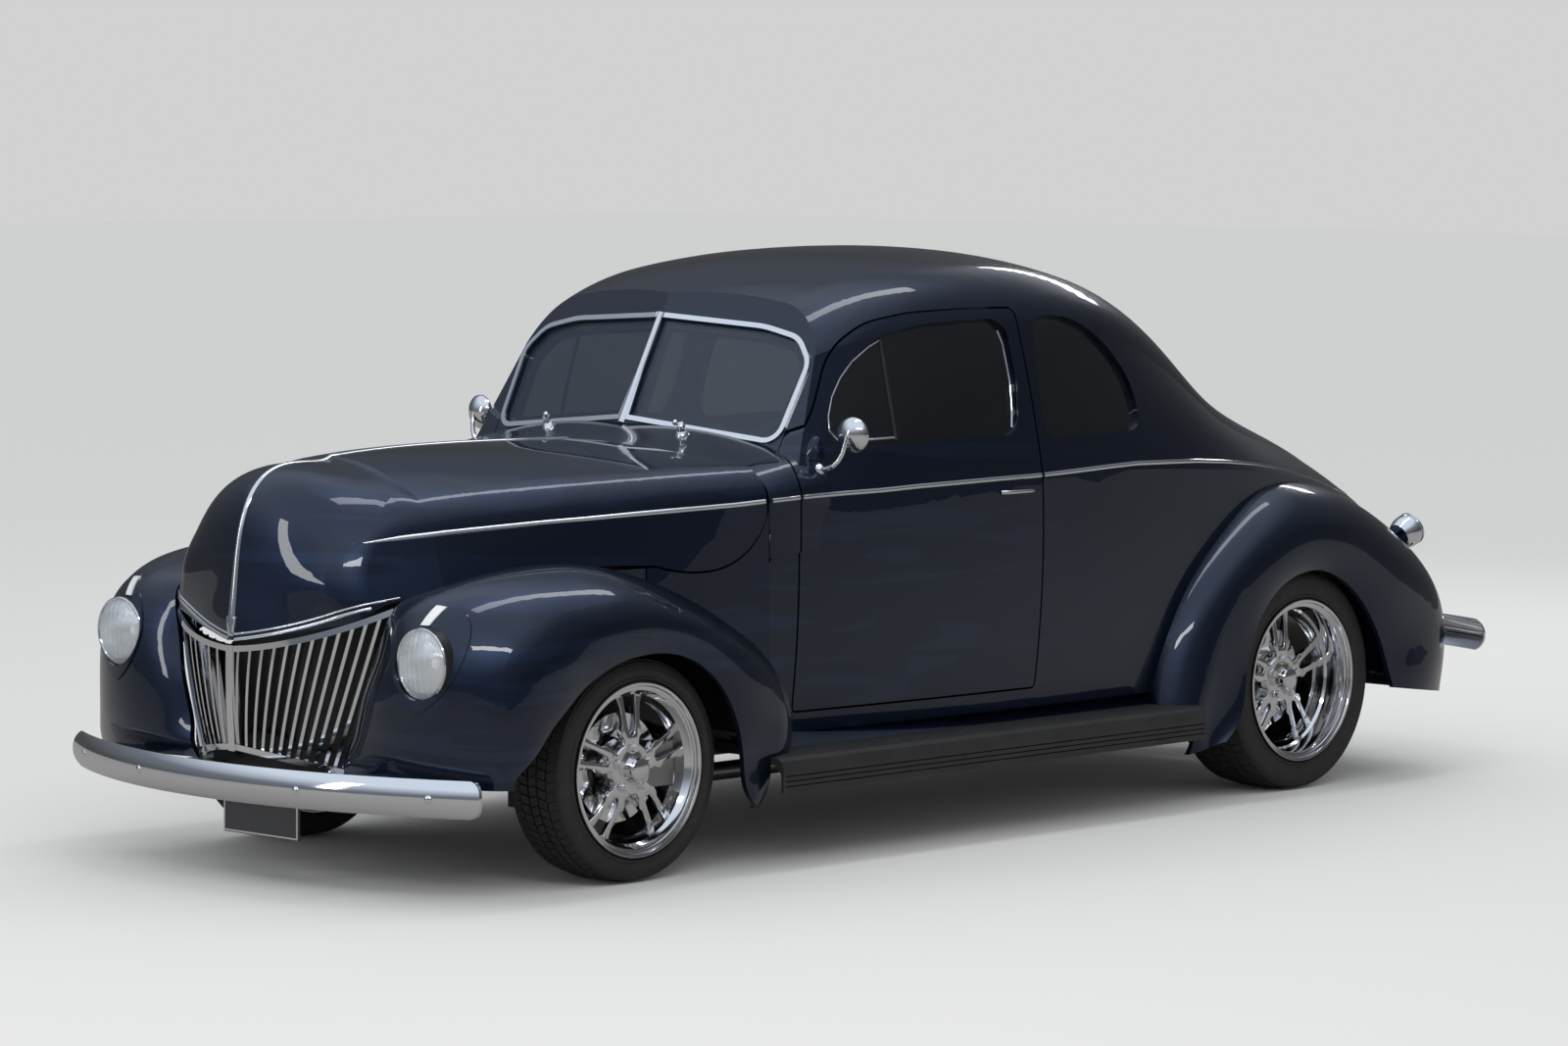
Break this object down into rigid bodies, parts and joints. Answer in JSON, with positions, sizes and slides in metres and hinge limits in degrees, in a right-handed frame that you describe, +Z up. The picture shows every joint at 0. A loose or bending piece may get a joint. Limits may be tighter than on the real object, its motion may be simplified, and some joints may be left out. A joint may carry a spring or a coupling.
{
  "type": "street rod coupe",
  "caption": "Lowered 1940s style two-door coupe with a prow grille, rounded fenders, running boards, opening doors, hood and deck lid, and steered, rolling wheels.",
  "frame": {"origin": "on the ground, at the middle of the overall length and width", "axes": "+X forwards, +Y to the driver's left, +Z up"},
  "size_m": [4.7808, 1.7121, 1.6675],
  "materials": {
    "body_paint": "dark blue metallic gloss",
    "black_paint": "satin black",
    "bright_metal": "polished",
    "polished_alloy": "polished",
    "tyre_rubber": "matt",
    "board_rubber": "ribbed matt",
    "tinted_glass": "tinted",
    "clear_glass": "fluted",
    "seat_leather": "satin",
    "trim_plastic": "satin",
    "cast_metal": "painted",
    "steel_parts": "plain",
    "plate_white": "plain"
  },
  "bodies": {
    "root": {"body_shell": "body_paint", "cowl_sides": "body_paint", "front_fender_left": "body_paint", "front_fender_right": "body_paint", "rear_fender_left": "body_paint", "rear_fender_right": "body_paint", "quarter_glass": "tinted_glass", "rear_window": "tinted_glass", "windshield": "tinted_glass", "windshield_trim": "bright_metal", "grille": "bright_metal", "front_bumper": "bright_metal", "rear_bumper": "bright_metal", "number_plate": "plate_white", "headlamps": "clear_glass", "headlamp_bezels": "body_paint", "tail_lamps": "bright_metal", "running_boards": "board_rubber", "chassis_frame": "black_paint", "engine": "cast_metal", "radiator": "black_paint", "floor_pan": "black_paint", "dashboard": "body_paint", "seat": "seat_leather", "steering_column": "bright_metal", "front_suspension": "black_paint", "rear_axle": "black_paint", "exhaust": "steel_parts", "fuel_tank": "black_paint"},
    "door_left_body": {"door_left": "body_paint", "door_glass_left": "tinted_glass", "mirror_left": "bright_metal"},
    "door_right_body": {"door_right": "body_paint", "door_glass_right": "tinted_glass", "mirror_right": "bright_metal"},
    "hood_body": {"hood": "body_paint"},
    "deck_lid_body": {"deck_lid": "body_paint"},
    "steering_wheel_body": {"steering_wheel": "trim_plastic"},
    "knuckle_left_body": {"knuckle_left": "steel_parts"},
    "knuckle_right_body": {"knuckle_right": "steel_parts"},
    "wheel_front_left_body": {"wheel_front_left": "polished_alloy", "tyre_front_left": "tyre_rubber"},
    "wheel_front_right_body": {"wheel_front_right": "polished_alloy", "tyre_front_right": "tyre_rubber"},
    "wheel_rear_left_body": {"wheel_rear_left": "polished_alloy", "tyre_rear_left": "tyre_rubber"},
    "wheel_rear_right_body": {"wheel_rear_right": "polished_alloy", "tyre_rear_right": "tyre_rubber"}
  },
  "joints": [
    {"name": "door_left_hinge", "type": "hinge", "parent": "root", "child": "door_left_body", "pos_m": [0.836, 0.7, 0.75], "axis": [0, 0, -1], "range_deg": [0, 65]},
    {"name": "door_right_hinge", "type": "hinge", "parent": "root", "child": "door_right_body", "pos_m": [0.836, -0.7, 0.75], "axis": [0, 0, 1], "range_deg": [0, 65]},
    {"name": "hood_hinge", "type": "hinge", "parent": "root", "child": "hood_body", "pos_m": [1.01, 0, 1.15], "axis": [0, -1, 0], "range_deg": [0, 45]},
    {"name": "deck_lid_hinge", "type": "hinge", "parent": "root", "child": "deck_lid_body", "pos_m": [-1.29, 0, 1.232], "axis": [0, 1, 0], "range_deg": [0, 50]},
    {"name": "steering_turn", "type": "hinge", "parent": "root", "child": "steering_wheel_body", "pos_m": [0.452, 0.36, 1.01], "axis": [-0.9251, 0, 0.3796], "range_deg": [-448, 448]},
    {"name": "steer_left", "type": "hinge", "parent": "root", "child": "knuckle_left_body", "pos_m": [1.51, 0.592, 0.306], "axis": [0, 0, 1], "range_deg": [-28, 28]},
    {"name": "spin_front_left", "type": "hinge", "parent": "knuckle_left_body", "child": "wheel_front_left_body", "pos_m": [1.51, 0.6435, 0.306], "axis": [0, 1, 0], "continuous": true},
    {"name": "spin_rear_left", "type": "hinge", "parent": "root", "child": "wheel_rear_left_body", "pos_m": [-1.335, 0.6415, 0.337], "axis": [0, 1, 0], "continuous": true},
    {"name": "steer_right", "type": "hinge", "parent": "root", "child": "knuckle_right_body", "pos_m": [1.51, -0.592, 0.306], "axis": [0, 0, 1], "range_deg": [-28, 28]},
    {"name": "spin_front_right", "type": "hinge", "parent": "knuckle_right_body", "child": "wheel_front_right_body", "pos_m": [1.51, -0.6435, 0.306], "axis": [0, 1, 0], "continuous": true},
    {"name": "spin_rear_right", "type": "hinge", "parent": "root", "child": "wheel_rear_right_body", "pos_m": [-1.335, -0.6415, 0.337], "axis": [0, 1, 0], "continuous": true}
  ],
  "couplings": [
    {"joint": "steer_left", "follows": "steering_turn", "ratio": 0.0625},
    {"joint": "steer_right", "follows": "steering_turn", "ratio": 0.0625}
  ]
}
